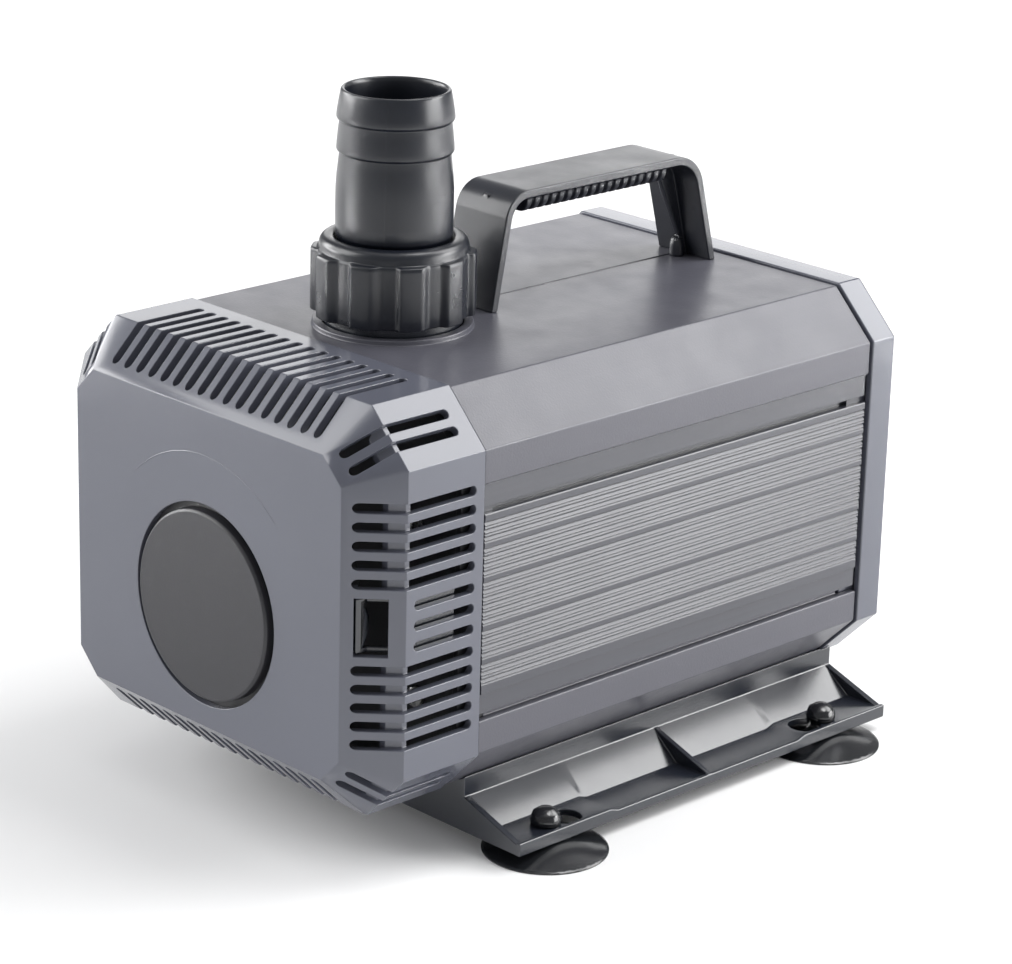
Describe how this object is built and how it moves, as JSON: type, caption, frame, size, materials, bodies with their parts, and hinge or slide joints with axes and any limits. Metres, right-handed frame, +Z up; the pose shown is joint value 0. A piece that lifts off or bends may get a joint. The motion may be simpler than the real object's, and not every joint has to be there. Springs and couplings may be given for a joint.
{
  "type": "fountain submersible pump",
  "caption": "Submersible fountain pump: slotted strainer cage, finned faceted housing, top union with hose tail, fixed carry handle, and a suction-cup base bracket.",
  "frame": {"origin": "centre of the bounding box's bottom face, on the plane that the suction cups stand on", "axes": "+Z up along the outlet; +Y rearwards along the pump's length, from the strainer to the cord gland; +X to the pump's left-hand side as seen from behind"},
  "size_m": [0.22, 0.27, 0.2488],
  "materials": {
    "cage_plastic": "satin, fine grain, bluish grey",
    "housing_plastic": "fine spark-eroded grain, lavender grey",
    "cap_plastic": "plain matt dark grey",
    "outlet_plastic": "semi-gloss charcoal blue",
    "dark_plastic": "semi-gloss charcoal blue",
    "inner_plastic": "plain moulded black",
    "cup_rubber": "smooth dark translucent rubber",
    "black_rubber": "smooth",
    "stainless_steel": "bright",
    "stator_steel": "laminated",
    "copper_windings": "varnished copper wire",
    "ceramic_shaft": "ground and polished",
    "ferrite": "ground, dark"
  },
  "bodies": {
    "root": {"top_housing": "housing_plastic", "bottom_housing": "housing_plastic", "side_panel_left": "housing_plastic", "side_panel_right": "housing_plastic", "rear_cover": "cage_plastic", "rear_cover_screws": "stainless_steel", "rear_cradle": "inner_plastic", "motor_mount_ring": "black_rubber", "cord_gland": "dark_plastic", "cord_gland_seal": "black_rubber", "cord_gland_nut": "dark_plastic", "cord_gland_locknut": "dark_plastic", "front_bulkhead": "inner_plastic", "bulkhead_screws": "stainless_steel", "volute_cover": "inner_plastic", "volute_seal": "black_rubber", "volute_housing": "dark_plastic", "volute_screws": "stainless_steel", "rotor_sleeve": "inner_plastic", "motor_case": "inner_plastic", "motor_seal": "black_rubber", "stator_core": "stator_steel", "stator_windings": "copper_windings", "impeller_shaft": "ceramic_shaft", "front_shaft_bush": "black_rubber", "rear_shaft_bush": "black_rubber", "thrust_washers": "ceramic_shaft", "outlet_seal": "black_rubber", "carry_handle": "outlet_plastic", "handle_screws": "stainless_steel", "base_bracket": "dark_plastic", "bracket_screws": "stainless_steel", "suction_cup_front_right": "cup_rubber", "suction_cup_front_left": "cup_rubber", "suction_cup_rear_right": "cup_rubber", "suction_cup_rear_left": "cup_rubber"},
    "rotor": {"impeller": "inner_plastic", "rotor_magnet": "ferrite"},
    "tail": {"hose_tail": "outlet_plastic"},
    "nut": {"union_nut": "outlet_plastic"},
    "strainer": {"strainer_cage": "cage_plastic", "inlet_cap": "cap_plastic"},
    "latch_left": {"latch_left": "dark_plastic"},
    "latch_right": {"latch_right": "dark_plastic"}
  },
  "joints": [
    {"name": "rotor_spin", "type": "hinge", "parent": "root", "child": "rotor", "pos_m": [0, -0.0355, 0.0824], "axis": [0, 1, 0], "continuous": true},
    {"name": "tail_lift", "type": "slide", "parent": "root", "child": "tail", "axis": [0, 0, 1], "range_m": [0, 0.015]},
    {"name": "nut_turn", "type": "hinge", "parent": "tail", "child": "nut", "pos_m": [0, -0.0494, 0.182], "axis": [0, 0, 1], "range_deg": [0, 1800]},
    {"name": "strainer_slide", "type": "slide", "parent": "root", "child": "strainer", "axis": [0, -1, 0], "range_m": [0, 0.06]},
    {"name": "latch_left_press", "type": "hinge", "parent": "strainer", "child": "latch_left", "pos_m": [-0.0664, -0.12798, 0.0949], "axis": [0, 0, -1], "range_deg": [0, 4], "stiffness_Nm_per_rad": 0.6},
    {"name": "latch_right_press", "type": "hinge", "parent": "strainer", "child": "latch_right", "pos_m": [0.0664, -0.12798, 0.0949], "axis": [0, 0, 1], "range_deg": [0, 4], "stiffness_Nm_per_rad": 0.6}
  ],
  "couplings": [
    {"joint": "tail_lift", "follows": "nut_turn", "m_per_rad": 0.00047746}
  ]
}
